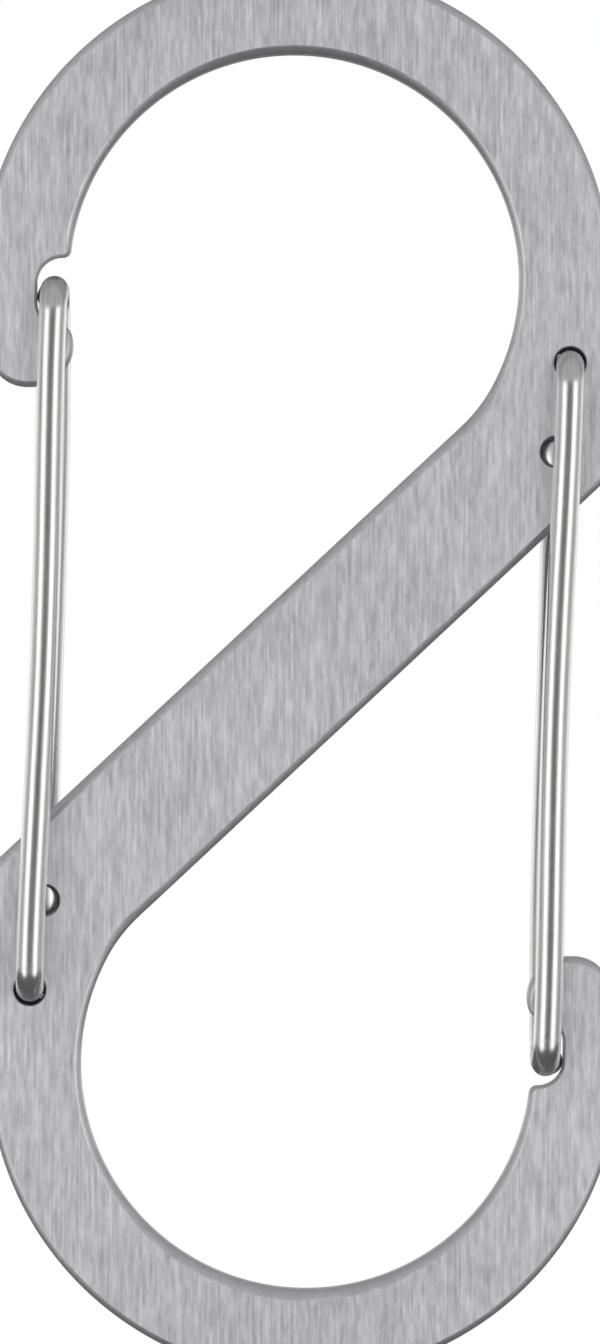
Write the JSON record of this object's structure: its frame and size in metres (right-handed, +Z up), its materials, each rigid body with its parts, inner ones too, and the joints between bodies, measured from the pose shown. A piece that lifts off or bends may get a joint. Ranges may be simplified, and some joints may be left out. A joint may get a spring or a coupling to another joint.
{
  "type": "s-shaped double carabiner",
  "caption": "Flat S-shaped stamped steel carabiner whose two opposed hooks are each closed by a sprung wire gate, for clipping gear together.",
  "frame": {"origin": "centre of the S-shaped plate, halfway through its thickness", "axes": "+Z up along the S's length, +X across it to the right, front face towards -Y; both gates hinge about axes along Y"},
  "size_m": [0.04, 0.007, 0.0884],
  "materials": {
    "plate_steel": "brushed",
    "wire_steel": "polished"
  },
  "bodies": {
    "plate": {"s_plate": "plate_steel"},
    "left_gate_front": {"left_gate_front_wire": "wire_steel"},
    "left_gate_back": {"left_gate_back_wire": "wire_steel"},
    "right_gate_front": {"right_gate_front_wire": "wire_steel"},
    "right_gate_back": {"right_gate_back_wire": "wire_steel"}
  },
  "joints": [
    {"name": "left_gate", "type": "hinge", "parent": "plate", "child": "left_gate_front", "pos_m": [-0.0169, 0, -0.01982], "axis": [0, 1, 0], "range_deg": [0, 33], "stiffness_Nm_per_rad": 0.01, "springref_deg": -5.73},
    {"name": "left_gate_flex", "type": "hinge", "parent": "left_gate_front", "child": "left_gate_back", "pos_m": [-0.0224, 0, 0.02389], "axis": [0, 1, 0], "range_deg": [0, 4.8]},
    {"name": "right_gate", "type": "hinge", "parent": "plate", "child": "right_gate_front", "pos_m": [0.0169, 0, 0.01926], "axis": [0, 1, 0], "range_deg": [0, 33], "stiffness_Nm_per_rad": 0.01, "springref_deg": -5.73},
    {"name": "right_gate_flex", "type": "hinge", "parent": "right_gate_front", "child": "right_gate_back", "pos_m": [0.0224, 0, -0.02445], "axis": [0, 1, 0], "range_deg": [0, 4.8]}
  ],
  "couplings": [
    {"joint": "left_gate_flex", "follows": "left_gate", "ratio": 0.1425},
    {"joint": "right_gate_flex", "follows": "right_gate", "ratio": 0.1425}
  ]
}
